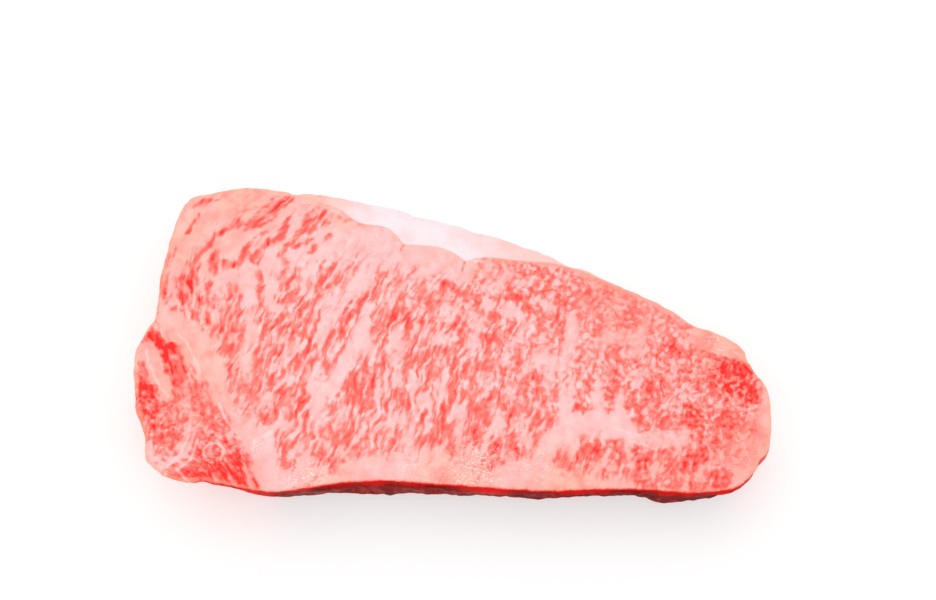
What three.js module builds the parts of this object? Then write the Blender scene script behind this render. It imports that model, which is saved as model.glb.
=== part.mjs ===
// A thick slice of raw, heavily marbled beef sirloin, lying flat on one of its two cut faces.
// Millimetres, +Z up. +X runs along the slice to its narrow end and +Y towards the fat cap.
// The origin is in the middle of the footprint, on the surface that the slice lies on.

import * as THREE from "three";
import { ImprovedNoise } from "three/addons/math/ImprovedNoise.js";

// Driving dimensions.
const THICKNESS = 25;
const LIP_RADIUS = 2.4; // rounding of the upper cut face's edge
const LIP_ANGLE = 62; // how far the lip turns down before the fat cap slopes on, in degrees
const FOOT_RADIUS = 1.8; // rounding where the wall turns under
const CAP_RISE = 6.8; // how far the fat cap's outer line bows out from its chord
const CAP_FALL = 0.5; // drop of the fat cap for each millimetre that it runs outwards
const CAP_SWELL = 0.06; // how full the fat cap's slope is, as a share of its run
const WALL_BULGE = 1.1; // how far the soft wall swells at half height
const UNDERCUT = 1.2; // how far the foot stands back from the edge above it, all round
const EDGE_DROOP = 0.9; // how far the face sinks at its edge
const DROOP_REACH = 9; // and over what distance
const FACE_WAVE = 0.5; // unevenness of the knife's cut
const WALL_WAVE = 0.8; // unevenness of the outside

// The edge of the upper cut face in plan, anticlockwise, as four sides.
// Each side is one or more smooth stretches that meet at the corners of the real edge.
const FRONT = [
  [[-103.2, -44.8], [-98.4, -49.8], [-89.8, -53.1], [-83, -52.8], [-70.7, -55.6], [-58, -57], [-37, -54.2],
   [-20, -53.4], [0, -54.8], [28, -57], [58, -56.2], [84, -57.4], [96, -55.5], [101, -51.5], [104.3, -46]],
];
const NARROW_END = [
  [[104.3, -46], [107.7, -41], [109.1, -31], [108.4, -20], [105.7, -14.3], [102, -9]],
];
const BACK = [
  [[102, -9], [101.9, -6.2], [98.6, -2.3], [94.6, 0.6], [88, 3.4], [84, 4.4], [73.2, 12], [58, 19.6],
   [46.4, 25.1], [36, 28], [25.2, 28.9], [12, 30.6], [8.1, 30.2], [5.2, 28.9]],
  [[5.2, 28.9], [2.2, 31.5], [-2.9, 34.1], [-10.4, 35.1], [-16.2, 34.8]], // a lobe of fat between two clefts
  [[-16.2, 34.8], [-17.8, 36.9], [-21.3, 40.7], [-25.2, 42.2], [-31.5, 42.8], [-35.1, 45.1]], // the next lobe
  [[-35.1, 45.1], [-39.8, 49.2], [-47.6, 51.1], [-54, 53.8], [-62, 56.2], [-72.1, 57.3], [-82.3, 55.6],
   [-92, 53], [-94.8, 50.8]],
];
const BROAD_END = [
  [[-94.8, 50.8], [-96.4, 47.2], [-99.7, 34], [-101.9, 20], [-102, 10.8], [-103.1, 6.1], [-106.1, 1.8],
   [-108.9, -5.6], [-108.7, -14], [-107.7, -24.7], [-104.6, -33.3], [-103.6, -40], [-103.2, -44.8]],
];

// The front leans: its foot is drawn back most of the way to this line in plan.
const FRONT_FOOT = [
  [-112, -28], [-103, -34], [-90, -38.5], [-76, -42.5], [-62, -46.6], [-28, -49], [0, -49.2], [28, -48.6],
  [60, -48.4], [69, -50.2], [77, -50.4], [86, -48], [95, -44], [104, -37.5], [112, -30],
];
const FOOT_DRAW = 0.75;

// The fat cap's outer line is one shallow arc between these two points of the back edge.
const CAP_START = new THREE.Vector2(46.4, 25.1);
const CAP_END = new THREE.Vector2(-62, 56.2);

// How finely the solid is faceted.
const LONG_CELLS = 60; // along the front and along the back
const SHORT_CELLS = 26; // across each end
const WALL_ROWS = 11; // from the foot up to the rim of the face
const FACE_RINGS = 11; // from the rim to the middle of the face
const MIDDLE = new THREE.Vector2(-8, -4);

const { degToRad, lerp, smoothstep } = THREE.MathUtils;
const noise = new ImprovedNoise();

// Irregular unevenness between about -1 and 1, the same on every run.
const slowNoise = (x, y, z) => 1.3 * noise.noise(x / 30, y / 30, z / 30 + 3.5);
const fineNoise = (x, y, z) => noise.noise(x / 9, y / 9, z / 9 + 7.5);

const splineThrough = (points) => new THREE.SplineCurve(points.map(([x, y]) => new THREE.Vector2(x, y)));

// Points along one side: its stretches share the cells by length, and the corners between them stay sharp.
function samplesOf(side, cells) {
  const curves = side.map(splineThrough);
  const lengths = curves.map((curve) => curve.getLength());
  const whole = lengths.reduce((sum, length) => sum + length, 0);
  const samples = [];
  let left = cells;
  curves.forEach((curve, i) => {
    const share = i === curves.length - 1 ? left : Math.round((cells * lengths[i]) / whole);
    left -= share;
    samples.push(...curve.getSpacedPoints(share).slice(0, -1));
  });
  return samples;
}

const edge = [
  ...samplesOf(FRONT, LONG_CELLS),
  ...samplesOf(NARROW_END, SHORT_CELLS),
  ...samplesOf(BACK, LONG_CELLS),
  ...samplesOf(BROAD_END, SHORT_CELLS),
];
const STATIONS = edge.length;

// The outward direction at each point of the edge, in plan.
const outward = edge.map((_, i) => {
  const before = edge.at(i - 2);
  const after = edge[(i + 2) % STATIONS];
  return new THREE.Vector2(after.y - before.y, before.x - after.x).normalize();
});

// Height of the upper cut face.
function faceHeight({ x, y }) {
  const fromEdge = Math.min(...edge.map((p) => Math.hypot(p.x - x, p.y - y)));
  const droop = EDGE_DROOP * Math.max(0, 1 - fromEdge / DROOP_REACH) ** 2;
  return THICKNESS - FACE_WAVE - droop + FACE_WAVE * slowNoise(x, y, 0);
}

// How the fat cap runs out beyond the face's edge at one point of it: a vector in plan, nothing elsewhere.
function capRun(point) {
  const chord = CAP_END.clone().sub(CAP_START);
  const out = new THREE.Vector2(chord.y, -chord.x).normalize();
  const along = point.clone().sub(CAP_START).dot(chord) / chord.lengthSq();
  if (along <= 0 || along >= 1 || point.y < CAP_START.y) return out.multiplyScalar(0);
  const bow = 4 * CAP_RISE * along * (1 - along);
  const line = CAP_START.clone().addScaledVector(chord, along).addScaledVector(out, bow);
  return out.multiplyScalar(Math.max(0, line.sub(point).dot(out)));
}

// How far back the front's foot lies behind a point of the edge, on top of the undercut.
const frontFoot = splineThrough(FRONT_FOOT).getSpacedPoints(400);
function leanAt({ x, y }) {
  if (y > 0) return 0;
  const foot = frontFoot.reduce((best, point) => (Math.abs(point.x - x) < Math.abs(best.x - x) ? point : best));
  return FOOT_DRAW * Math.max(0, foot.y - y);
}

// The outside's section at one point of the edge, from the foot up to the rim of the face.
// x is the distance out along the normal, y the height, and z the share of the cap's run.
function wallAt(i, rimHeight) {
  const { x, y } = edge[i];
  const run = capRun(edge[i]).length();
  const sloping = smoothstep(run, 0, 4);
  const turn = degToRad(lerp(90, LIP_ANGLE, sloping));
  const lip = [0, 0.35, 0.7, 1].map((share) => new THREE.Vector3(
    -LIP_RADIUS * (1 - Math.sin(turn * share)), rimHeight - LIP_RADIUS * (1 - Math.cos(turn * share)), 0));

  const lipEnd = lip.at(-1);
  const shoulder = lipEnd.y - lerp(6, CAP_FALL * run, sloping);
  const slope = [0.35, 0.7, 0.95].map((share) => new THREE.Vector3(
    lerp(lipEnd.x, 0, share), lerp(lipEnd.y, shoulder, share) + 4 * CAP_SWELL * run * share * (1 - share), share));

  const wall = [0.8, 0.55, 0.3].map((share) => {
    const height = lerp(FOOT_RADIUS, shoulder, share);
    const wave = WALL_WAVE * (slowNoise(x, y, height) + 0.5 * fineNoise(x, y, height));
    const swell = 4 * WALL_BULGE * share * (1 - share) + wave;
    return new THREE.Vector3(swell - UNDERCUT * (1 - share), height, 1);
  });
  const foot = [
    new THREE.Vector3(-UNDERCUT - 0.3 * FOOT_RADIUS, 0.3 * FOOT_RADIUS, 1),
    new THREE.Vector3(-UNDERCUT - FOOT_RADIUS, 0, 1),
  ];

  // The rows lie closer together at the foot and at the lip.
  const curve = new THREE.CatmullRomCurve3([...lip, ...slope, ...wall, ...foot], false, "centripetal");
  return Array.from({ length: WALL_ROWS + 1 }, (_, row) => {
    const { x: out, y: height, z: share } = curve.getPointAt((1 + Math.cos((Math.PI * row) / WALL_ROWS)) / 2);
    const place = edge[i].clone().addScaledVector(capRun(edge[i]), Math.min(1, share)).addScaledVector(outward[i], out);
    place.y += leanAt(edge[i]) * (1 - height / rimHeight);
    return new THREE.Vector3(place.x, place.y, row === 0 ? 0 : Math.max(0.05, height));
  });
}

// One whole section of the slice, from the middle of its underside round to the middle of its face.
function sectionAt(i) {
  const rim = edge[i].clone().addScaledVector(outward[i], -LIP_RADIUS);
  const face = Array.from({ length: FACE_RINGS }, (_, ring) => {
    const point = rim.clone().lerp(MIDDLE, (ring + 1) / FACE_RINGS);
    return new THREE.Vector3(point.x, point.y, faceHeight(point));
  });
  return [new THREE.Vector3(MIDDLE.x, MIDDLE.y, 0), ...wallAt(i, faceHeight(rim)), ...face];
}

// The slice is a round disc, turned on a lathe, whose points are moved to the slice's own sections.
function sliceGeometry() {
  const sections = edge.map((_, i) => sectionAt(i));
  const rows = sections[0].length;
  const discProfile = sections[0].map((_, row) => {
    const turn = (Math.PI * row) / (rows - 1);
    return new THREE.Vector2(Math.sin(turn), -Math.cos(turn));
  });
  const slice = new THREE.LatheGeometry(discProfile, STATIONS);
  const points = slice.getAttribute("position");
  for (let n = 0; n < points.count; n++) {
    const station = Math.floor(n / rows) % STATIONS;
    points.setXYZ(n, ...sections[station][n % rows]);
  }
  slice.computeBoundingBox();
  const { x, y } = slice.boundingBox.getCenter(new THREE.Vector3());
  slice.translate(-x, -y, 0);
  slice.computeVertexNormals();
  return slice;
}

const meat = new THREE.MeshStandardMaterial({ color: 0xf5a09a, roughness: 0.45, metalness: 0 });
const steak = new THREE.Mesh(sliceGeometry(), meat);
steak.name = "steak";

const group = new THREE.Group();
group.add(steak);

export default group;
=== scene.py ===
"""A raw, heavily marbled sirloin steak on a plain white table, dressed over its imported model."""

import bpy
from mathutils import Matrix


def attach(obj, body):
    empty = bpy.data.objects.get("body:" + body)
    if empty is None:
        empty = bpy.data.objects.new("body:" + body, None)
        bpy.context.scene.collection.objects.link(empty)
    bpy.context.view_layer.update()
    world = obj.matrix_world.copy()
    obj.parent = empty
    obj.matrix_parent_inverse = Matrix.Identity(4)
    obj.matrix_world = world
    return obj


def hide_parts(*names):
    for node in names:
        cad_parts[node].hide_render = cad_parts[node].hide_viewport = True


bl_info = {
    "name": "Marbled Sirloin Steak",
    "version": (1, 0, 0),
    "blender": (4, 5, 0),
    "location": "View3D > Sidebar > Steak",
    "description": "Dresses the packed steak with marbled meat and sets up its table, lights and camera",
    "category": "Object",
}

import math

import bmesh
import bpy
import numpy as np
from bpy.props import FloatProperty, FloatVectorProperty, PointerProperty
from bpy.types import Operator, Panel, PropertyGroup
from mathutils import Vector, noise

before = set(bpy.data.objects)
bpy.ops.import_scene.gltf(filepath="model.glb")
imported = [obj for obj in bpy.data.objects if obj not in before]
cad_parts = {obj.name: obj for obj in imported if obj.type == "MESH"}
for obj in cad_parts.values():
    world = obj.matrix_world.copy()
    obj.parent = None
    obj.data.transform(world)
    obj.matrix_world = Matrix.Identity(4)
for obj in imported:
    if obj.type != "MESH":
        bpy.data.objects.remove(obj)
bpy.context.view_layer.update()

MM = 0.001

# Plan positions below are in millimetres: +X to the narrow end, +Y to the fat cap.

# The seam that parts the tail, at the left, from the main muscle.
TAIL_SEAM = [(-59, -53), (-63, -41), (-70, -33), (-76, -25), (-80, -17), (-84, -9), (-90, -2), (-97, 7)]
# The direction of the tail's own grain, in degrees from +X.
TAIL_GRAIN = 112
# The arcs of fat and lean in the tail: their centre, their spacing, and their pull on the marbling.
ARC_CENTRE = (-103, -31)
ARC_SPACING = 3.2
ARC_PULL = 0.7

# Turns of the grain from its main direction: centre, reach, and degrees anticlockwise.
GRAIN_TURNS = [((-70, 50), 20, -40), ((-90, 12), 17, 18), ((-11, -25), 34, 9), ((48, -12), 40, 8)]
TAIL_TURNS = [((-92, -52), 15, 45)]
# Where the streaks are longer than elsewhere: centre, reach, and share of length added.
LONG_STREAKS = [((-74, 34), 20, 0.5)]

# Seams of fat and streaks of lean that lie in the slice's own places, over the marbling.
# Each has its pull on the marbling (fat below zero), half its width, its soft edge, and its lines.
STROKES = {
    "seam beside the tail": (-1.3, 3.6, 3.0, [TAIL_SEAM]),
    "fat of the lobe": (-0.9, 2.0, 2.5, [
        [(-96, 27), (-95, 38), (-90, 43), (-83, 47), (-76, 50), (-66, 53)],
        [(-84, 19), (-79, 21), (-71, 25), (-66, 27), (-58, 28), (-52, 29), (-45, 32)]]),
    "pale column": (-1.0, 1.2, 2.4, [
        [(-70, 18), (-69, 1), (-69, -4), (-71, -11)], [(-63, 22), (-61, 10)]]),
    "upper vein": (-0.9, 1.4, 2.4, [[(-32, 24), (-34, 18), (-39, 10), (-45, -2)]]),
    "lower vein": (-1.0, 1.8, 2.4, [[(-30, 3), (-31, -5), (-36, -10), (-40, -17), (-46, -20)]]),
    "foot of the vein": (-0.8, 1.4, 3.0, [
        [(-46, -20), (-44, -28), (-46, -34)], [(-49, -40), (-51, -47)],
        [(-62, -36), (-64, -44), (-61, -52)]]),
    "fat under the rim": (-0.75, 4.0, 6.0, [[(-43, 37), (-27, 33), (-11, 29), (3, 26)]]),
    "seam of the lower muscle": (-1.1, 1.7, 2.6, [
        [(30, -43), (38, -35), (43, -32), (51, -31), (59, -34), (68, -38), (77, -38)]]),
    "wide part of that seam": (-0.8, 3.0, 3.0, [
        [(40, -33), (56, -34)], [(20, -49), (32, -45), (40, -40)]]),
    "right columns": (-0.9, 0.9, 2.0, [
        [(41, 8), (41, -2), (39, -11), (40, -20), (39, -32)], [(50, -18), (51, -27)],
        [(58, -22), (58, -30)]]),
    "columns of the lower muscle": (-1.0, 0.8, 2.0, [
        [(52, -38), (52.5, -46)], [(60.5, -38), (61, -47)], [(70, -43), (67, -51)],
        [(84.5, -54), (84, -50.5), (86.5, -47.5), (91, -46.5), (95, -48)]]),
    "right patches": (-0.5, 1.5, 3.0, [
        [(51, -4), (57, -2), (65, 0)], [(63, -17), (70, -13)], [(60, -6), (70, -4)]]),
    "lower margin": (-1.1, 2.0, 3.2, [
        [(-55, -53), (-24, -50), (-4, -52), (16, -53), (40, -55), (60, -56)]]),
    "wide part of the margin": (-0.9, 2.6, 3.4, [
        [(-33, -49), (-12, -47), (-4, -45)], [(18, -52), (32, -49)]]),
    "fat at the narrow end": (-1.2, 2.2, 2.4, [
        [(106, -14), (109, -24), (108, -38), (104, -47), (97, -54)]]),
    "pale corner": (-0.9, 3.4, 4.0, [[(103, -31), (104, -44), (99, -51)]]),
    "plug of clear fat": (-2.4, 4.2, 1.0, [[(87, -1), (92, -3), (99, -6)]]),
    "edge of the plug": (1.3, 0.3, 1.3, [[(82, 4), (84, -3), (89, -8), (97, -10), (102, -8)]]),
    "tongue of fat": (-1.6, 2.0, 1.6, [[(-106, -4), (-103, -8), (-101, -12), (-99, -17), (-97, -22)]]),
    "tail's corner": (-1.2, 1.6, 2.2, [
        [(-104, -41), (-103, -45), (-99, -48)],
        [(-88, -34), (-89, -38), (-91, -43), (-94, -47), (-97, -49)]]),
    "left rim": (-1.1, 0.8, 1.4, [[(-109, -5), (-109, -18)]]),
    "back rim": (-0.8, 0.8, 2.2, [[(30, 28), (46, 25), (60, 18), (73, 12), (84, 5)]]),
    "lobe's outer rim": (-0.9, 1.2, 2.0, [
        [(-95, 50), (-84, 55), (-72, 57), (-60, 55), (-48, 51), (-38, 47)]]),
    "pale islands": (-0.7, 0.8, 3.0, [
        [(-19, 3), (-19, -3)], [(-12, 2), (-11, 0)], [(-3, 9), (0, 8)], [(-6, -3), (-3, -3)],
        [(8, 5), (8, -4)], [(16, -5), (17, -7)], [(31, 12), (33, 9)], [(30, -9), (37, -11)],
        [(17, 21), (15, 16)], [(-3, -17), (-4, -22)], [(2, -28), (4, -29)], [(3, -36), (4, -37)],
        [(4, -47), (8, -47)], [(15, -29), (15, -35)], [(25, -36), (25, -39)], [(12, -37), (11, -42)],
        [(-13, -19), (-13, -22)], [(-20, -10), (-20, -15)]]),
    "whitest fat": (-1.5, 0.8, 2.4, [[(12, 11), (18, 10), (23, 7)]]),
    "lobe's arch": (2.8, 0.4, 1.5, [
        [(-90, 15), (-91, 20), (-89, 27), (-87, 32), (-83, 37), (-78, 40), (-75, 42)]]),
    "lobe's broad streaks": (2.5, 0.6, 1.8, [[(-72, 41), (-67, 42), (-62, 47), (-58, 51)]]),
    "lobe's streaks": (2.4, 0.3, 1.5, [
        [(-82, 31), (-84, 27), (-82, 23)], [(-72, 32), (-75, 27), (-79, 24), (-79, 27)],
        [(-57, 43), (-60, 37), (-66, 33), (-70, 28)],
        [(-45, 45), (-50, 41), (-58, 33), (-60, 29), (-58, 27)]]),
    "lobe's fine streaks": (2.0, 0.2, 1.4, [
        [(-84, 24), (-85, 20), (-84, 17), (-83, 20)], [(-71, 43), (-66, 47), (-63, 50)],
        [(-71, 31), (-74, 25)], [(-66, 30), (-68, 27)], [(-64, 39), (-67, 37), (-72, 31)],
        [(-42, 37), (-50, 31)], [(-44, 42), (-50, 38)], [(-49, 36), (-55, 32)],
        [(-92, 26), (-91, 24), (-89, 19)], [(-97, 33), (-99, 26)], [(-101, 22), (-99, 14)],
        [(-98, 11), (-93, 8), (-91, 6)], [(-92, 48), (-88, 50), (-82, 51)], [(-93, 38), (-89, 45)]]),
    "dark fleck": (1.6, 0.5, 1.3, [[(-93, 21), (-93, 12)]]),
    "streaks under the lobe": (0.9, 0.4, 1.5, [
        [(-58, 18), (-57, 15), (-58, 12), (-60, 12), (-60, 16), (-58, 18)],
        [(-88, 13), (-87, 10), (-89, 6)], [(-84, 13), (-86, 3)],
        [(-78, 15), (-77, 19), (-75, 19), (-75, 16)], [(-76, 14), (-77, 10), (-80, 2)],
        [(-73, 14), (-75, 1)], [(-66, 17), (-67, 5)], [(-66, 21), (-64, 22), (-62, 24), (-61, 21)],
        [(-51, 27), (-54, 20)]]),
    "streaks left of the middle": (0.9, 0.8, 1.8, [
        [(-77, -4), (-78, -9), (-76, -12), (-75, -21)],
        [(-61, 6), (-64, 1), (-62, -3), (-60, 0), (-60, 4)], [(-53, 14), (-54, 8), (-56, 7)],
        [(-70, -31), (-69, -27), (-66, -21), (-67, -16)], [(-73, -24), (-72, -20)],
        [(-64, -33), (-60, -29), (-55, -30), (-51, -24)], [(-50, -28), (-49, -33), (-50, -38)],
        [(-55, -35), (-58, -37), (-59, -40), (-57, -43)], [(-52, -34), (-53, -38), (-55, -40)],
        [(-52, -44), (-53, -50), (-52, -54)], [(-57, -46), (-57, -50)], [(-44, -37), (-46, -43)],
        [(-38, -34), (-41, -42)], [(-35, -36), (-36, -40)], [(-40, -46), (-40, -50)]]),
    "streaks of the middle": (0.8, 0.9, 1.8, [
        [(-22, -3), (-22, -11)], [(-23, 4), (-25, -1)], [(-33, -14), (-34, -25)],
        [(-30, -12), (-30, -25)], [(-26, -17), (-26, -22)], [(-14, 9), (-15, 1), (-14, -3), (-11, -4)],
        [(-31, 14), (-36, 7)], [(-12, 24), (-14, 18), (-18, 10)], [(-9, 12), (-8, 5)],
        [(-2, 19), (-5, 13), (-9, 11)], [(-10, -7), (-4, -6)],
        [(0, -9), (1, -18), (-1, -25), (-4, -31), (-5, -38)], [(-17, -21), (-18, -27)]]),
    "streaks right of the middle": (0.9, 0.8, 1.8, [
        [(9, 20), (8, 15)], [(1, 16), (1, 12)], [(15, 6), (13, 0), (13, -3), (11, -12)],
        [(20, 17), (20, 13), (24, 13)], [(20, 14), (16, 11)], [(24, 24), (27, 22)],
        [(32, 24), (31, 21)], [(34, 19), (33, 16), (31, 14)], [(26, 9), (29, 11), (30, 5), (34, 6)],
        [(36, 12), (41, 10)], [(36, 7), (37, 2)], [(8, -28), (8, -39)], [(12, -24), (12, -33)],
        [(14, -41), (12, -48), (16, -46)], [(30, -36), (26, -44)], [(26, -17), (29, -16), (29, -21)]]),
    "streaks of the right": (0.9, 0.8, 1.8, [
        [(56, -6), (56, -11)], [(53, -21), (53, -29)], [(44, -20), (43, -29)], [(47, 17), (47, 15)],
        [(61, -27), (64, -27), (62, -31), (64, -34)], [(66, -34), (66, -36)],
        [(71, -26), (72, -30), (71, -34)], [(67, -18), (67, -23)], [(76, -3), (77, -9)],
        [(72, -16), (71, -22)], [(80, -27), (80, -33)], [(84, -28), (84, -33)]]),
    "lower muscle": (1.3, 1.2, 2.8, [
        [(45, -43), (51, -41)], [(54, -41), (55, -45)], [(63, -43), (64, -46)], [(37, -46), (42, -45)],
        [(72, -44), (74, -49), (73, -54)], [(66, -52), (65, -54)], [(80, -47), (84, -44)],
        [(81, -56), (84, -56)], [(87, -51), (90, -49), (92, -52), (89, -54)]]),
    "dark muscle": (1.3, 1.6, 2.6, [
        [(92, -12), (98, -12), (103, -13), (101, -16), (104, -19), (101, -25)], [(90, -17), (97, -20)],
        [(91, -29), (94, -33)], [(99, -31), (100, -35)]]),
    "tail strips": (2.8, 1.2, 1.4, [
        [(-107, -1), (-101, -1), (-98, -6), (-96, -13), (-94, -17)], [(-95, -5), (-94, -8), (-92, -13)]]),
    "tail's outer lean": (1.1, 1.0, 2.0, [[(-106, -12), (-107, -20)], [(-107, -29), (-107, -33)]]),
    "tail's mottle": (0.8, 2.6, 3.0, [[(-103, -22), (-104, -30), (-99, -37)]]),
    "tail's upright lean": (0.9, 0.8, 1.6, [
        [(-93, -20), (-93, -26)], [(-96, -31), (-96, -35)], [(-93, -34), (-94, -43)],
        [(-90, -30), (-90, -38)]]),
    "tail's middle": (0.6, 1.6, 2.6, [[(-86, -21), (-82, -30), (-80, -37)], [(-78, -30), (-76, -34)]]),
    "rosette": (0.9, 0.4, 1.4, [
        [(-79, -47), (-83, -45), (-84, -41), (-81, -37), (-77, -37), (-75, -41)]]),
    "arcs of the tail's foot": (1.0, 0.5, 1.3, [
        [(-86, -40), (-88, -45), (-94, -50)], [(-85, -43), (-88, -48), (-93, -53)]]),
    "tail's red foot": (1.3, 2.2, 2.6, [
        [(-84, -50), (-80, -50), (-73, -46), (-71, -50), (-69, -56), (-74, -57)]]),
}

# Knots where lean gathers or, below zero, fat does: centre, reach, and pull.
KNOTS = [
    ((-52, 1), 4, 1.0), ((-67, -14), 2.5, 1.2), ((-67, -7), 2.5, 0.8), ((-44, -10), 3.5, 0.7),
    ((-37, 0), 4, 0.6), ((-19, 6), 2.5, 1.5), ((-51, -23), 2.5, 0.9), ((-69, -30), 2, 0.6),
    ((-32, -22), 4, 0.5), ((-8, -17), 4, 0.7), ((-8, 10), 3, 0.8), ((2, 2), 3, 1.2),
    ((4, -2), 2.5, 0.8), ((8, 11), 3.5, 1.2), ((15, 6), 2.5, 0.8), ((12, -2), 2.5, 0.9),
    ((20, 13), 2.5, 0.6), ((23, 13), 2, 0.7), ((22, -13), 2.5, 0.9), ((37, 3), 2, 0.7),
    ((50, 12), 2, 0.6), ((-3, -32), 2.5, 0.6), ((-7, -38), 3, 0.7), ((8, -34), 4, 0.6),
    ((5, -22), 4, 0.6), ((20, -28), 3.5, 1.0), ((21, -42), 3, 0.9), ((17, -38), 3, 0.6),
    ((14, -47), 2, 0.6), ((37, -34), 2, 1.4), ((76, -7), 3, 0.6), ((80, -31), 3, 0.7),
    ((48, -42), 3.5, 0.8), ((101, -14), 4, 1.0), ((102, -24), 3, 0.8), ((-95, -43), 2, 0.8),
    ((-105, -20), 4, 1.0), ((-105, -29), 4, 1.2), ((-100, -36), 3, 1.0), ((-99, -27), 3, 0.7),
    ((-63, -40), 3, -0.7), ((-45, -23), 4, -0.7), ((-57, -33), 3, -0.8), ((-80, -43), 2, 0.6),
    ((-82, -33), 6, 0.4), ((-86, -21), 4, 0.5), ((-94, -16), 2, 1.0), ((-75, 30), 3, -0.3),
    ((99, -23), 2, -0.8), ((89.5, -51.5), 2.2, 1.6), ((88, -38), 5, 0.6), ((82, -44), 4, 0.4),
    ((94, -34), 4, 0.3), ((30, -3), 9, -0.15), ((-17, -36), 6, -0.2),
]

# The peach rind along the right half of the back edge.
RIND = [(16, 28), (28, 28), (38, 26.5), (48, 23), (58, 18.5), (68, 13.5), (78, 8), (85, 4)]

# Fine threads of pale membrane, and fine creases, sunk into the face and painted darker at their bottoms as
# painted shade.
THREADS = [
    [(-94, 0), (-91, -3), (-89, -7), (-87, -11), (-86, -14)],
    [(-79, -25), (-77, -30), (-75, -33), (-71, -38)],
    [(-105, -5), (-103, -12), (-99.5, -19), (-96, -23)],
    [(-88.5, -30), (-88.5, -37), (-91, -43), (-95.5, -48)],
    [(-85.5, -38), (-87.5, -45), (-92, -49)],
    [(-80, -46.5), (-83, -45), (-83.5, -42), (-81.5, -39.5), (-78.5, -39.5), (-76.5, -42), (-77.5, -45.5)],
    [(-67, -42), (-66, -38), (-63, -37), (-60, -35)],
    [(-41, 27), (-35, 35)],
    [(94, -22), (96, -26), (100, -28), (104, -26)],
    [(55, -34), (61, -36), (66, -37)],
    [(60, -39), (65, -40), (69, -42)],
    [(7, 27.5), (11, 27)],
]
CREASES = [
    [(-47, 50.5), (-44, 49), (-41, 49), (-38, 47.5), (-35, 45.5), (-33, 43.5)],
    [(5, 28.5), (4.2, 26), (3.5, 23.5)],
    [(-16.5, 34.5), (-18, 31)],
]

# Places below are a centre, a reach, and an amount.

# Muscles whose lean is in curls and flecks rather than in strands, with a net of fine pale lines.
CURLY_PLACES = [((-99, -32), 16, 1.0), ((-82, -36), 14, 1.0), ((95, -20), 24, 1.0)]
# Meat with more lean than elsewhere, or with less.
RICHNESS = [
    ((-84, 34), 17, -1.0), ((-58, 38), 16, -0.7), ((92, -30), 15, 0.35), ((70, -15), 18, 0.25),
    ((-12, 28), 15, -0.8), ((-32, 38), 11, -0.5), ((60, 8), 18, -0.15), ((-95, -30), 16, 0.2),
    ((97, -16), 9, 0.6), ((-75, -51), 9, 0.8), ((-88, -50), 9, 0.4),
]
# Meat that is stained darker by juice, or dense with lean.
STAINS = [
    ((-104, -24), 10, 0.9), ((-84, -33), 13, 0.2), ((-75, -52), 12, 1.6), ((-98, -5), 8, 0.9),
    ((-101, 18), 11, 0.35), ((-93, 16), 5, 0.8), ((-76, 57), 12, 0.3), ((108, -20), 9, 0.35),
    ((99, -17), 9, 1.5), ((88, -40), 20, 0.45), ((60, -47), 17, 0.4), ((78, -16), 20, 0.5),
    ((94, -2), 7, 0.3), ((50, 24), 14, 0.3), ((-30, -58), 16, 0.5), ((20, -60), 22, 0.65),
]
# Meat where lean and fat run into each other.
WASHED_PLACES = [
    ((-84, -32), 13, 0.55), ((-101, -34), 13, 0.3), ((60, 10), 18, 0.45), ((90, -4), 9, 0.5),
    ((103, -42), 15, 0.9), ((98, -18), 10, 0.4), ((-76, -52), 10, 0.4), ((-8, 30), 10, 0.2),
    ((84, -50), 14, 0.2),
]
# Meat whose streaks run unbroken, with little finer pattern in them.
CALM_PLACES = [((-80, 40), 20, 1.0), ((-58, 42), 14, 0.8), ((-97, 24), 9, 0.6)]
# Fat that is peach rather than pink.
WARM_PLACES = [
    ((-92, 38), 26, 0.8), ((-90, -12), 24, 0.8), ((-74, 56), 20, 1.0), ((-40, 45), 12, 0.5),
    ((-12, 34), 12, 0.3), ((10, 29), 14, 0.4), ((60, 18), 20, 0.7), ((94, -3), 11, 1.6),
    ((104, -40), 16, 0.9), ((-40, -56), 15, 0.8), ((0, -56), 17, 1.0), ((40, -57), 17, 1.0),
    ((76, -57), 16, 0.8),
]
# Crumbs of wet fat, painted whitish partly as painted highlights of their wet glints.
WET_PLACES = [
    ((8, -49), 11, 1.0), ((-14, -49), 8, 0.6), ((91, -3), 5, 0.7), ((98, -5), 3, 0.5),
    ((72, 10), 5, 0.4), ((-65, -40), 4, 0.6), ((28, -47), 8, 0.7), ((100, -44), 8, 0.4),
    ((-48, -54), 9, 1.0),
]

# The back rim of the upper cut face, under which the fat cap begins.
BACK_RIM = [(-62, 56), (-35, 45), (-16, 35), (5, 29), (46, 25), (85, 4)]

# The seed of the drawn strokes' waver, without which Blender takes one from the clock.
WAVER_SEED = 1
# How broad the forms of the surface's unevenness are, in millimetres.
SWELL_SIZE = 13
LUMP_SIZE = 5.5
GRIT_SIZE = 2.2
RIDGE_SIZE = 2.6
# How many times taller than broad the ridges of the front are.
RIDGE_STRETCH = 5
# How high the forms stand on the walls, the front and the upper face, in millimetres.
WALL_LUMPS = 0.55
WALL_GRIT = 0.22
FRONT_SWELLS = 0.6
FRONT_RIDGES = 0.35
FACE_SWELLS = 0.3
FACE_LUMPS = 0.14
FACE_GRIT = 0.06
# How far the upper face, the creases and the seam beside the tail sink, in millimetres.
FACE_SINK = 0.1
CREASE_DEPTH = 0.35
SEAM_DEPTH = 0.3

# The colour of the wet fat's crumb specks, whitish partly as painted highlight of their wet glints, in
# linear values.
CRUMB_AND_GLINT_COLOUR = (1, 0.9, 0.88)

# The point that the camera looks at, in millimetres, and the width of its sensor.
CAMERA_AIM = (5.7, 12.3, 25)
SENSOR_WIDTH = 36
# The overhead light and the table, in metres.
LIGHT_PLACE = (-0.05, 0.02, 1.15)
LIGHT_SIZE = 1.6
TABLE_SIZE = 4


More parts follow.
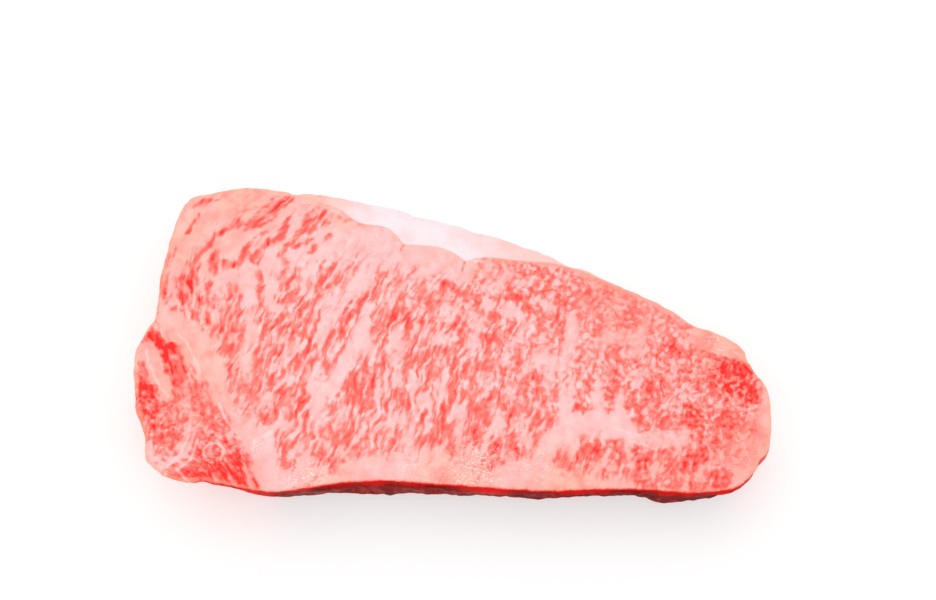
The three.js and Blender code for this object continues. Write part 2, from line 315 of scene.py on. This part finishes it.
def colour(red, green, blue):
    """A colour's linear values, from the 0 to 255 of a photograph."""
    def linear(value):
        value /= 255
        return value / 12.92 if value <= 0.04045 else ((value + 0.055) / 1.055) ** 2.4
    return (linear(red), linear(green), linear(blue))


def colour_setting(name, description, rgb):
    return FloatVectorProperty(name=name, description=description, subtype="COLOR", size=3,
                               min=0, max=1, default=colour(*rgb))


def length_setting(name, description, millimetres):
    return FloatProperty(name=name, description=description, unit="LENGTH", default=millimetres * MM)


class SteakSettings(PropertyGroup):
    """Sizes and colours of the meat."""

    cell: length_setting("Cell", "Size of the surface's cells", 0.82)
    bundle_width: length_setting("Bundle width", "Spacing of the bundles of lean across the grain", 4.8)
    bundle_length: length_setting("Bundle length", "Spacing of the bundles of lean along the grain", 13)
    leanness: FloatProperty(name="Leanness", description="Share of lean in the marbling", default=0.1)
    strands: FloatProperty(name="Strands", description="Contrast of the straight strands", default=3.9)
    hairs: FloatProperty(name="Hairs", description="Contrast of the finest strands", default=1.8)
    curls: FloatProperty(name="Curls", description="Contrast of the curls", default=4.4)
    flecks: FloatProperty(name="Flecks", description="Contrast of the flecks", default=3)
    grain: FloatProperty(name="Grain", description="Main direction of the grain, from +X",
                         subtype="ANGLE", default=math.radians(68))
    fat: colour_setting("Fat", "Fat between the streaks", (255, 186, 183))
    warm_fat: colour_setting("Warm fat", "Peach fat of the rims and seams", (255, 187, 162))
    light_fat: colour_setting("Light fat", "Palest fat", (255, 210, 209))
    membrane: colour_setting("Membrane", "Fine pale threads", (255, 226, 222))
    rind: colour_setting("Rind", "Fat along the back edge", (255, 156, 140))
    blush: colour_setting("Blush", "Fat tinged by the lean beside it", (255, 144, 134))
    lean: colour_setting("Lean", "Lean meat", (255, 106, 96))
    deep_lean: colour_setting("Deep lean", "Lean meat where it is thick", (255, 40, 36))
    bare_lean: colour_setting("Bare lean", "Lean meat at the rim of the front", (222, 22, 18))
    # The lean and fat lower on the front are painted darker, as painted shade of the front.
    shaded_lean: colour_setting("Shaded lean", "Lean meat lower on the front", (132, 10, 8))
    deep_shaded_lean: colour_setting("Dark lean", "Darkest lean meat on the front", (96, 8, 6))
    shaded_fat: colour_setting("Shaded fat", "Streaks of fat on the front", (170, 66, 56))
    cap: colour_setting("Cap", "Dry outer face of the fat cap", (249, 235, 240))
    cap_blush: colour_setting("Cap blush", "Fat cap where lean shows through", (255, 203, 197))
    # The colour at the bottom of the creases is painted shade.
    crease: colour_setting("Crease", "Bottom of the fine creases", (246, 120, 100))
    roughness: FloatProperty(name="Roughness", description="Roughness of the cut face",
                             subtype="FACTOR", min=0, max=1, default=0.46)
    relief: length_setting("Relief", "Height of the marbling's relief", 0.12)


class StageSettings(PropertyGroup):
    """The camera, the lights and the table."""

    distance: length_setting("Distance", "From the camera to the point it looks at", 750)
    elevation: FloatProperty(name="Elevation", description="Height of the camera above the horizon",
                             subtype="ANGLE", default=math.radians(68))
    half_width: length_setting("Half width", "Half of the frame's width, at that distance", 161.9)
    table: colour_setting("Table", "Colour of the table", (188, 188, 188))
    glow: FloatProperty(name="Glow", description="Light that comes through the table", default=0.52)
    key: FloatProperty(name="Key light", description="Strength of the overhead light",
                       unit="POWER", default=3.9)
    sky: FloatProperty(name="Sky", description="Brightness of the surroundings", default=0.87)


class Socket:
    """A number, vector or colour in a material. Arithmetic on it adds Math nodes."""

    def __init__(self, tree, output):
        self.tree = tree
        self.output = output

    def node(self, kind, settings, sockets, out=0):
        """Adds a node: its settings first, then the values or links of its sockets."""
        made = self.tree.nodes.new(kind)
        for key, value in settings.items():
            setattr(made, key, value)
        for key, value in sockets.items():
            if isinstance(value, Socket):
                self.tree.links.new(value.output, made.inputs[key])
            else:
                made.inputs[key].default_value = value
        return Socket(self.tree, made.outputs[out] if made.outputs else None)

    def math(self, operation, first, second):
        return self.node("ShaderNodeMath", {"operation": operation}, {0: first, 1: second})

    def __add__(self, other):
        return self.math("ADD", self, other)

    def __sub__(self, other):
        return self.math("SUBTRACT", self, other)

    def __rsub__(self, other):
        return self.math("SUBTRACT", other, self)

    def __mul__(self, other):
        return self.math("MULTIPLY", self, other)

    def smallest(self, other):
        return self.math("MINIMUM", self, other)

    def size(self):
        return self.math("ABSOLUTE", self, 0)

    def step(self, low, high):
        """0 below low and 1 above high, smoothly between. With low above high it falls."""
        return self.node("ShaderNodeMapRange", {"interpolation_type": "SMOOTHSTEP"},
                         {"Value": self, "From Min": low, "From Max": high})

    def axis(self, name):
        """One number of this vector: X, Y or Z."""
        return self.node("ShaderNodeSeparateXYZ", {}, {"Vector": self}, out=name)

    def moved(self, offset, amount):
        """This vector shifted by another vector times a number."""
        shift = self.node("ShaderNodeVectorMath", {"operation": "SCALE"}, {0: offset, "Scale": amount})
        return self.node("ShaderNodeVectorMath", {"operation": "ADD"}, {0: self, 1: shift})

    def blend(self, first, second, factor):
        """The first colour, turning into the second as the factor goes from 0 to 1."""
        first, second = [tone if isinstance(tone, Socket) else (*tone, 1) for tone in (first, second)]
        return self.node("ShaderNodeMix", {"data_type": "RGBA"}, {0: factor, 6: first, 7: second}, out=2)

    def mixed(self, other, factor):
        """This colour, turning into another as the factor goes from 0 to 1."""
        return self.blend(self, other, factor)

    def noise(self, along, across=None, up=None, detail=2, roughness=0.5, distortion=0, out=0):
        """Noise at this position, from 0 to 1, in patches of these sizes. With out=1 it is a vector."""
        sizes = (1 / along, 1 / (across or along), 1 / (up or across or along))
        place = self.node("ShaderNodeVectorMath", {"operation": "MULTIPLY"}, {0: self, 1: sizes})
        return self.node("ShaderNodeTexNoise", {}, {"Vector": place, "Scale": 1, "Detail": detail,
                                                    "Roughness": roughness, "Distortion": distortion}, out)


def new_material(name):
    """An empty material, as its own object and as the Socket that starts its nodes."""
    material = bpy.data.materials.new(name)
    material.use_nodes = True
    material.node_tree.nodes.clear()
    return material, Socket(material.node_tree, None)


def finish_material(start, **sockets):
    """Ends a material with a Principled shader."""
    named = {key.replace("_", " ").title().replace("Ior", "IOR"): value for key, value in sockets.items()}
    surface = start.node("ShaderNodeBsdfPrincipled", {}, named)
    start.node("ShaderNodeOutputMaterial", {}, {"Surface": surface})


def remeshed_copy(node, name, cell):
    """A new object with a CAD node's shape, in small even cells."""
    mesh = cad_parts[node].data.copy()
    shape = bmesh.new()
    shape.from_mesh(mesh)
    bmesh.ops.remove_doubles(shape, verts=shape.verts, dist=0.001 * MM)
    shape.to_mesh(mesh)
    shape.free()
    piece = bpy.data.objects.new(name, mesh)
    bpy.context.collection.objects.link(piece)
    even = piece.modifiers.new("Even cells", "REMESH")
    even.mode = "VOXEL"
    even.voxel_size = cell
    soft = piece.modifiers.new("Soft facets", "SMOOTH")
    soft.factor = 0.5
    soft.iterations = 5
    finished = bpy.data.meshes.new_from_object(piece.evaluated_get(bpy.context.evaluated_depsgraph_get()))
    piece.modifiers.clear()
    piece.data = finished
    finished.name = name
    bpy.data.meshes.remove(mesh)
    return piece


def smooth_step(values, low, high):
    """0 below low and 1 above high, smoothly between."""
    share = np.clip((values - low) / (high - low), 0, 1)
    return share * share * (3 - 2 * share)


def smooth_fall(values, low, high):
    """1 below low and 0 above high, smoothly between."""
    return smooth_step(-values, -high, -low)


def distance_to(points, line):
    """How far each plan point is from a line through several corners."""
    nearest = np.full(len(points), np.inf)
    for start, end in zip(line[:-1], line[1:]):
        start = np.array(start, float)
        run = np.array(end, float) - start
        share = np.clip((points - start) @ run / max(run @ run, 1e-9), 0, 1)
        nearest = np.minimum(nearest, np.linalg.norm(points - start - share[:, None] * run, axis=1))
    return nearest


def near(points, centre, reach):
    """1 at the centre, fading over the reach."""
    return np.exp(-(((points - np.array(centre)) / reach) ** 2).sum(1))


def pull_of_strokes(plan):
    """The pull of all the strokes: towards lean above zero, towards fat below."""
    pull = np.zeros(len(plan))
    for strength, half_width, fade, lines in STROKES.values():
        pull += strength * smooth_fall(nearest_of(plan, lines), half_width, half_width + fade)
    return pull


def pull_of_arcs(plan):
    """The pull of the arcs of fat and lean around the tail's outer muscle."""
    reach = distance_to(plan, [ARC_CENTRE, ARC_CENTRE])
    share = smooth_step(reach, 9, 13) * smooth_fall(reach, 20, 25) * in_tail(plan)
    waves = np.cos(reach * math.tau / ARC_SPACING)
    return share * smooth_step(plan[:, 0] - plan[:, 1], -72, -58) * waves * ARC_PULL


def wandered(plan, amount, size):
    """The plan points, each shifted a little, so that the lines read there aren't ruled."""
    noise.seed_set(WAVER_SEED)
    shifts = [noise.noise_vector(Vector((x, y, 0)) / size)[:2] for x, y in plan]
    return plan + amount * np.array(shifts)


def spread_of(plan, spots):
    """The strongest of some places' amounts, from 0 to 1."""
    amounts = [amount * near(plan, centre, reach) for centre, reach, amount in spots]
    return np.minimum(np.maximum.reduce(amounts), 1)


def sum_of(plan, spots):
    """Some places' amounts added up."""
    return sum(amount * near(plan, centre, reach) for centre, reach, amount in spots)


def nearest_of(plan, lines):
    """How far each plan point is from the nearest of some lines."""
    return np.minimum.reduce([distance_to(plan, line) for line in lines])


def grain_coordinates(places, angle, turns):
    """Positions in millimetres along the grain, across it, and up."""
    plan = places[:, :2].copy()
    for centre, reach, degrees in reversed(turns):
        turn = -math.radians(degrees) * near(plan, centre, reach)
        arm = plan - np.array(centre)
        turned = [np.cos(turn) * arm[:, 0] - np.sin(turn) * arm[:, 1],
                  np.sin(turn) * arm[:, 0] + np.cos(turn) * arm[:, 1]]
        plan = np.stack(turned, axis=1) + np.array(centre)
    along = plan @ (math.cos(angle), math.sin(angle))
    across = plan @ (math.sin(angle), -math.cos(angle))
    for centre, reach, share in LONG_STREAKS:
        here = near(places[:, :2], centre, reach)
        middle = (here * along).sum() / here.sum()
        along = along - (along - middle) * here * share
    return np.stack([along, across, places[:, 2]], axis=1)


def in_tail(plan):
    """Whether each plan point lies left of the seam beside the tail."""
    x, y = np.array(TAIL_SEAM).T
    return (plan[:, 0] < np.interp(plan[:, 1], y, x)) & (plan[:, 1] < y.max())


def roughened(places, normals):
    """The places of the surface's points with the small unevenness of cut and trimmed meat."""
    plan = places[:, :2]
    wall = smooth_fall(np.abs(normals[:, 2]), 0.5, 0.9) * smooth_step(places[:, 2], 0.5, 3)
    front = wall * smooth_step(-normals[:, 1], 0.2, 0.7)
    top = smooth_step(normals[:, 2], 0.8, 0.95)
    swells = np.array([noise.noise(Vector(place) / SWELL_SIZE) for place in places])
    lumps = np.array([noise.noise(Vector(place) / LUMP_SIZE) for place in places])
    grit = np.array([noise.noise(Vector(place) / GRIT_SIZE) for place in places])
    ridges = np.array([noise.noise(Vector((x, y, z / RIDGE_STRETCH)) / RIDGE_SIZE) for x, y, z in places])
    groove = smooth_fall(nearest_of(plan, CREASES), 0, 1.0) * CREASE_DEPTH
    hollow = smooth_fall(distance_to(plan, TAIL_SEAM), 1, 4.5) * SEAM_DEPTH
    push = wall * (lumps * WALL_LUMPS + grit * WALL_GRIT)
    push = push + front * (swells * FRONT_SWELLS + ridges * FRONT_RIDGES)
    push += top * (swells * FACE_SWELLS + lumps * FACE_LUMPS + grit * FACE_GRIT - FACE_SINK)
    places = places + normals * push[:, None]
    places[:, 2] -= (groove + hollow) * smooth_step(normals[:, 2], 0.3, 0.8)
    return places


def set_attribute(mesh, name, values):
    kind = "FLOAT" if values.ndim == 1 else "FLOAT_VECTOR"
    layer = mesh.attributes.new(name, kind, "POINT")
    layer.data.foreach_set("value" if values.ndim == 1 else "vector", values.astype(np.float32).ravel())


def vertex_arrays(mesh):
    """Each vertex's place in millimetres and its normal."""
    places = np.empty(len(mesh.vertices) * 3, np.float32)
    mesh.vertices.foreach_get("co", places)
    normals = np.empty(len(mesh.vertices) * 3, np.float32)
    mesh.vertex_normals.foreach_get("vector", normals)
    return places.reshape(-1, 3).astype(float) / MM, normals.reshape(-1, 3).astype(float)


def outer_regions(places, normals):
    """How far each point belongs to the cut faces, to the fat cap, and to the bare front."""
    x, y, height = places.T
    rim = np.interp(x, *np.array(BACK_RIM).T)
    face = smooth_step(np.abs(normals[:, 2]), 0.86, 0.95)
    face = np.where((y > rim - 1) & (height > 3), smooth_step(height, 23.4, 24.1), face)

    # The cap lies under the back rim. A thinner film of it goes on over the whole of the back.
    cap = smooth_step(y, rim - 6, rim - 4) * smooth_fall(height, 23.1, 23.7)
    cap *= smooth_step(x, -56, -36) * smooth_fall(x, 40, 72) * smooth_step(normals[:, 2], -0.95, -0.8)
    back = smooth_step(normals[:, 1], 0.1, 0.6) * smooth_fall(height, 16, 22)
    cap = np.maximum(cap, back * smooth_step(x, -112, -80) * smooth_fall(x, 80, 104) * 0.6)

    # Towards the ends the front is only red, with less of its painted shade.
    front = smooth_step(-normals[:, 1], 0.2, 0.75) * smooth_fall(y, -38, -30) * smooth_step(x, -94, -78)
    front *= smooth_fall(height, 22.4, 24.2)
    front *= 0.42 + 0.58 * smooth_step(x, -68, -50) * smooth_fall(x, 86, 104)
    return face, cap, front


def mark_regions(mesh, angle):
    """Writes the meat's fields on its vertices, for the material to read."""
    places, normals = vertex_arrays(mesh)
    plan = places[:, :2]
    x, y = plan.T
    face, cap, front = outer_regions(places, normals)
    main_grain = grain_coordinates(places, angle, GRAIN_TURNS)
    tail_grain = grain_coordinates(places, math.radians(TAIL_GRAIN), TAIL_TURNS)
    # The strokes waver in two sizes, so that they don't look ruled.
    drawn = wandered(wandered(plan, 1.2, 4.5), 0.6, 1.8)
    net = spread_of(plan, CURLY_PLACES)
    fields = {
        "grain": np.where(in_tail(plan)[:, None], tail_grain, main_grain),
        "pull": pull_of_strokes(drawn) + pull_of_arcs(drawn) + sum_of(drawn, KNOTS) + sum_of(plan, RICHNESS),
        # From the left to the right the lean turns from strands into curls.
        "curl": np.maximum(smooth_step(x + 0.7 * y, -24, 78), net),
        "net": net,
        "warm": spread_of(plan, WARM_PLACES),
        "stain": spread_of(plan, STAINS),
        "wash": spread_of(plan, WASHED_PLACES),
        "calm": spread_of(plan, CALM_PLACES),
        "wet": spread_of(plan, WET_PLACES),
        "thread": nearest_of(plan, THREADS),
        "rind": distance_to(plan, RIND),
        "crease": nearest_of(plan, CREASES),
        "face": face,
        "cap": cap,
        "front": front,
    }
    for name, values in fields.items():
        set_attribute(mesh, name, values)


def attribute(start, name, vector=False):
    return start.node("ShaderNodeAttribute", {"attribute_name": name}, {}, out="Vector" if vector else "Fac")


def marbling(start, place, settings):
    """How lean the meat is at each place, from below 0 in clear fat to above 1 in solid lean."""
    curl = attribute(start, "curl")
    wash = attribute(start, "wash")
    calm = attribute(start, "calm")

    # The grain wanders a little everywhere.
    bent = attribute(start, "grain", vector=True).moved(place.noise(9, out=1), 5)
    bent = bent.moved(place.noise(3, detail=1, out=1), 1.1)

    # Lean gathers in bundles with fat between them, long ones or round ones.
    long_bundles = bent.noise(settings.bundle_length / MM, settings.bundle_width / MM, 14) - 0.5
    round_bundles = bent.noise(6.5, settings.bundle_width / MM, 14, detail=1) - 0.5
    gather = (long_bundles * (3.8 - curl * 2.0) + round_bundles * curl * 2.2) * (1 - calm * 0.15)
    gather = gather + attribute(start, "pull") + settings.leanness
    inside = gather.step(-1.2, 0.3) * 0.9 + 0.1

    # Inside a bundle the lean is in straight strands, or in curls and flecks.
    strands = (bent.noise(5.6, 1.8, 9, detail=1, roughness=0.4) - 0.5) * settings.strands
    curls = 0.45 - ((bent.noise(2.8, 2.2, 8, detail=1, roughness=0.4) - 0.5) * settings.curls).size()
    flecks = (place.noise(1.8, 1.8, 5, detail=1, roughness=0.4) - 0.5) * settings.flecks
    hairs = (bent.noise(4.5, 0.9, 6, detail=1, roughness=0.4) - 0.5) * settings.hairs
    pattern = (strands + hairs) * (0.85 - curl * 0.65) + curls * (curl * 0.8 + 0.2)
    pattern = pattern + flecks * (curl * 0.4 + 0.35)

    # Some muscles hold a net of thin pale lines.
    lines = ((place.noise(4.6, detail=1, distortion=0.5) - 0.5) * 22).size().step(1, 0.3)
    lines = lines * attribute(start, "net")
    capped = gather.smallest(attribute(start, "stain") * 1.3 + calm * 0.7 + 1.4)
    contrast = 1 - wash * 0.5
    inside = inside * (1 - calm * 0.2)
    return capped * contrast * 0.38 + 0.1 + wash * 0.25 + pattern * inside * contrast - lines * 0.45


def fat_tones(start, place, fine, lean, settings):
    """The fat: pink or peach, paler in patches, and tinged by the lean beside it."""
    warm = attribute(start, "warm")
    stain = attribute(start, "stain")
    fat = start.blend(settings.fat, settings.warm_fat, warm)
    light = place.noise(5).step(0.3, 0.7) * 0.6 + fine.step(0.3, 0.7) * 0.5 + lean.step(-0.3, -0.9) * 0.5
    fat = fat.mixed(settings.light_fat, light * (1 - stain * 0.6) * (1 - warm * 0.7))
    blotches = place.noise(6, detail=3).step(0.4, 0.66) * warm * 0.65
    tinge = stain * 0.4 + attribute(start, "wash") * 0.3 + blotches
    return fat.mixed(settings.blush, tinge.smallest(0.9))


def cut_tones(start, place, fine, lean, settings):
    """The cut face: fat and lean, with the rind, the threads, and painted shade at the bottom of the
    creases.
    """
    stain = attribute(start, "stain")
    meat = fat_tones(start, place, fine, lean, settings)
    meat = meat.mixed(settings.blush, lean.step(-0.35, 0.45))
    meat = meat.mixed(settings.lean, (lean + stain * 0.1).step(0.15, 1.0))
    meat = meat.mixed(settings.deep_lean, (lean + stain * 0.45).step(0.8, 1.75))
    rind = attribute(start, "rind") + (fine - 0.5) * 1.5 + (place.noise(6) - 0.5) * 3
    meat = meat.mixed(settings.rind, rind.step(2.6, 0.6) * 0.7)
    thread = (attribute(start, "thread") + (place.noise(3) - 0.5) * 0.8).step(0.75, 0.2)
    meat = meat.mixed(settings.membrane, thread * attribute(start, "face") * 0.45)
    # The creases are painted darker at their bottoms, as painted shade.
    return meat.mixed(settings.crease, attribute(start, "crease").step(0.6, 0.1) * 0.8)


def with_sides(meat, start, place, fine, lean, settings):
    """The meat with its sides: marbling under a film of fat, and bare lean along the front, painted darker
    lower down as painted shade.
    """
    height = place.axis("Z")
    streaks = place.noise(2.6, 2.6, 14, detail=3) + fine * 0.1
    film = (streaks + height.step(4, 20) * 0.12).step(0.42, 0.62)
    side = meat.mixed(settings.warm_fat, film * 0.5)
    meat = side.mixed(meat, attribute(start, "face"))

    # The bare lean is bright at the top of the front; lower down it is painted dark, as painted shade.
    front = attribute(start, "front") + (streaks - 0.5) * 0.4 + (fine - 0.5) * 0.3
    band = height + (place.noise(20, detail=2) - 0.5) * 15 + streaks * 4
    darkness = place.noise(7, 7, 4, detail=3).step(0.4, 0.7)
    shaded = start.blend(settings.shaded_lean, settings.deep_shaded_lean, darkness)
    fat_streaks = (streaks - lean * 0.04).step(0.54, 0.72) * height.step(24, 15) * 0.55
    shaded = shaded.mixed(settings.shaded_fat, fat_streaks)
    bare = shaded.mixed(settings.bare_lean, band.step(22, 27))
    bare = start.blend(settings.bare_lean, bare, front.step(0.45, 0.85))
    return meat.mixed(bare, front.step(0, 0.5))


def with_cap(meat, start, place, fine, settings):
    """The meat with its fat cap: white at the middle, and pinker towards its ends."""
    patches = (place.noise(9, detail=3) + fine * 0.12).step(0.45, 0.75)
    ends = (place.axis("X") + 12).size().step(12, 36) * 0.8
    cap = start.blend(settings.cap, settings.cap_blush, (patches * 0.4 + ends).smallest(0.9))
    ragged = place.noise(6, 6, 14, detail=3) - 0.5 + (fine - 0.5) * 0.3
    amount = attribute(start, "cap") * 1.2 + ragged * (1 - attribute(start, "face")) * 0.6 - 0.1
    return meat.mixed(cap, amount.step(0, 1))


def meat_material(settings):
    """Marbled meat: streaks of lean and fat along the grain, bare sides and a dry white cap."""
    material, start = new_material("Marbled meat")
    face = attribute(start, "face")
    wet = attribute(start, "wet")
    place = start.node("ShaderNodeTexCoord", {}, {}, out="Object")
    place = start.node("ShaderNodeVectorMath", {"operation": "SCALE"}, {0: place, "Scale": 1 / MM})
    fine = place.noise(0.9, roughness=0.6)
    lean = marbling(start, place, settings)
    meat = cut_tones(start, place, fine, lean, settings)
    meat = with_sides(meat, start, place, fine, lean, settings)
    meat = with_cap(meat, start, place, fine, settings)
    # Whitish crumb specks of wet fat: partly painted highlights of wet glints, and raised and glossier too.
    clusters = (place.noise(4) - 0.5) * 0.35
    crumbs_and_glints = (place.noise(0.8, 0.55, 0.8, detail=1) + clusters + wet * 0.08).step(0.6, 0.7) * wet * face
    meat = meat.mixed(CRUMB_AND_GLINT_COLOUR, crumbs_and_glints * 0.7)

    relief = lean.step(-0.2, 0.8) * -0.5 + fine * 0.6 + crumbs_and_glints * 1.2
    bump = start.node("ShaderNodeBump", {}, {"Height": relief, "Distance": settings.relief, "Strength": 0.6})
    rough = settings.roughness - lean.step(0, 1) * 0.06 - wet * 0.1 - crumbs_and_glints * 0.2 + (1 - face) * 0.25
    sheen = face * 0.35 + wet * 0.15
    finish_material(start, base_color=meat, roughness=rough, normal=bump, specular_ior_level=0.05,
                    coat_weight=sheen, coat_roughness=0.35, coat_ior=1.4,
                    subsurface_weight=0.08, subsurface_scale=0.002)
    return material


class STEAK_OT_meat(Operator):
    """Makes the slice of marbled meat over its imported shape"""

    bl_idname = "steak.meat"
    bl_label = "Slice of meat"

    def execute(self, context):
        settings = context.scene.steak
        piece = remeshed_copy("steak", "steak_meat", settings.cell)
        mark_regions(piece.data, settings.grain)
        places = roughened(*vertex_arrays(piece.data)) * MM
        piece.data.vertices.foreach_set("co", places.astype(np.float32).ravel())
        piece.data.update()
        piece.data.materials.clear()
        piece.data.materials.append(meat_material(settings))
        piece.data.shade_smooth()
        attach(piece, "root")
        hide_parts("steak")
        return {"FINISHED"}


def table_material(settings):
    material, start = new_material("White table")
    finish_material(start, base_color=(*settings.table, 1), roughness=0.9, specular_ior_level=0.1,
                    emission_color=(1, 1, 1, 1), emission_strength=settings.glow)
    return material


def add_light(name, power, size, place, target):
    """An area light that looks at a point."""
    data = bpy.data.lights.new(name, "AREA")
    data.energy = power
    data.size = size
    light = bpy.data.objects.new(name, data)
    light.location = place
    light.rotation_euler = (Vector(target) - Vector(place)).to_track_quat("-Z", "Y").to_euler()
    bpy.context.collection.objects.link(light)


def add_table(settings):
    """A large plain table under the steak."""
    shape = bmesh.new()
    bmesh.ops.create_grid(shape, x_segments=1, y_segments=1, size=TABLE_SIZE)
    mesh = bpy.data.meshes.new("table")
    shape.to_mesh(mesh)
    shape.free()
    table = bpy.data.objects.new("table", mesh)
    mesh.materials.append(table_material(settings))
    bpy.context.collection.objects.link(table)


def add_camera(settings):
    """The camera, high above the front of the steak."""
    data = bpy.data.cameras.new("Camera")
    data.sensor_width = SENSOR_WIDTH
    data.lens = SENSOR_WIDTH / 2 * settings.distance / settings.half_width
    data.clip_start = 0.05
    camera = bpy.data.objects.new("Camera", data)
    back = Vector((0, -math.cos(settings.elevation), math.sin(settings.elevation)))
    camera.location = Vector(CAMERA_AIM) * MM + back * settings.distance
    camera.rotation_euler = back.to_track_quat("Z", "Y").to_euler()
    bpy.context.collection.objects.link(camera)
    bpy.context.scene.camera = camera


def add_surroundings(settings):
    """A plain white room that lights the steak from all sides."""
    world = bpy.data.worlds.new("Bright room")
    world.use_nodes = True
    background = world.node_tree.nodes["Background"]
    background.inputs["Color"].default_value = (1, 1, 1, 1)
    background.inputs["Strength"].default_value = settings.sky
    bpy.context.scene.world = world


class STEAK_OT_stage(Operator):
    """Makes the table, the lights and the camera"""

    bl_idname = "steak.stage"
    bl_label = "Table, lights and camera"

    def execute(self, context):
        settings = context.scene.steak_stage
        add_table(settings)
        add_camera(settings)
        add_light("Overhead light", settings.key, LIGHT_SIZE, LIGHT_PLACE, (0, 0, 0))
        add_surroundings(settings)
        context.scene.view_settings.view_transform = "Standard"
        return {"FINISHED"}


class STEAK_PT_panel(Panel):
    """Lists the steak's settings and steps"""

    bl_idname = "STEAK_PT_panel"
    bl_label = "Marbled steak"
    bl_space_type = "VIEW_3D"
    bl_region_type = "UI"
    bl_category = "Steak"

    def draw(self, context):
        scene = context.scene
        for settings, operator in ((scene.steak, STEAK_OT_meat), (scene.steak_stage, STEAK_OT_stage)):
            box = self.layout.box()
            for name in settings.__annotations__:
                box.prop(settings, name)
            box.operator(operator.bl_idname)


CLASSES = (SteakSettings, StageSettings, STEAK_OT_meat, STEAK_OT_stage, STEAK_PT_panel)


def register():
    for one in CLASSES:
        bpy.utils.register_class(one)
    bpy.types.Scene.steak = PointerProperty(type=SteakSettings)
    bpy.types.Scene.steak_stage = PointerProperty(type=StageSettings)


def unregister():
    del bpy.types.Scene.steak_stage
    del bpy.types.Scene.steak
    for one in reversed(CLASSES):
        bpy.utils.unregister_class(one)


def main():
    register()
    bpy.ops.steak.stage()
    bpy.ops.steak.meat()


if __name__ == "__main__":
    main()
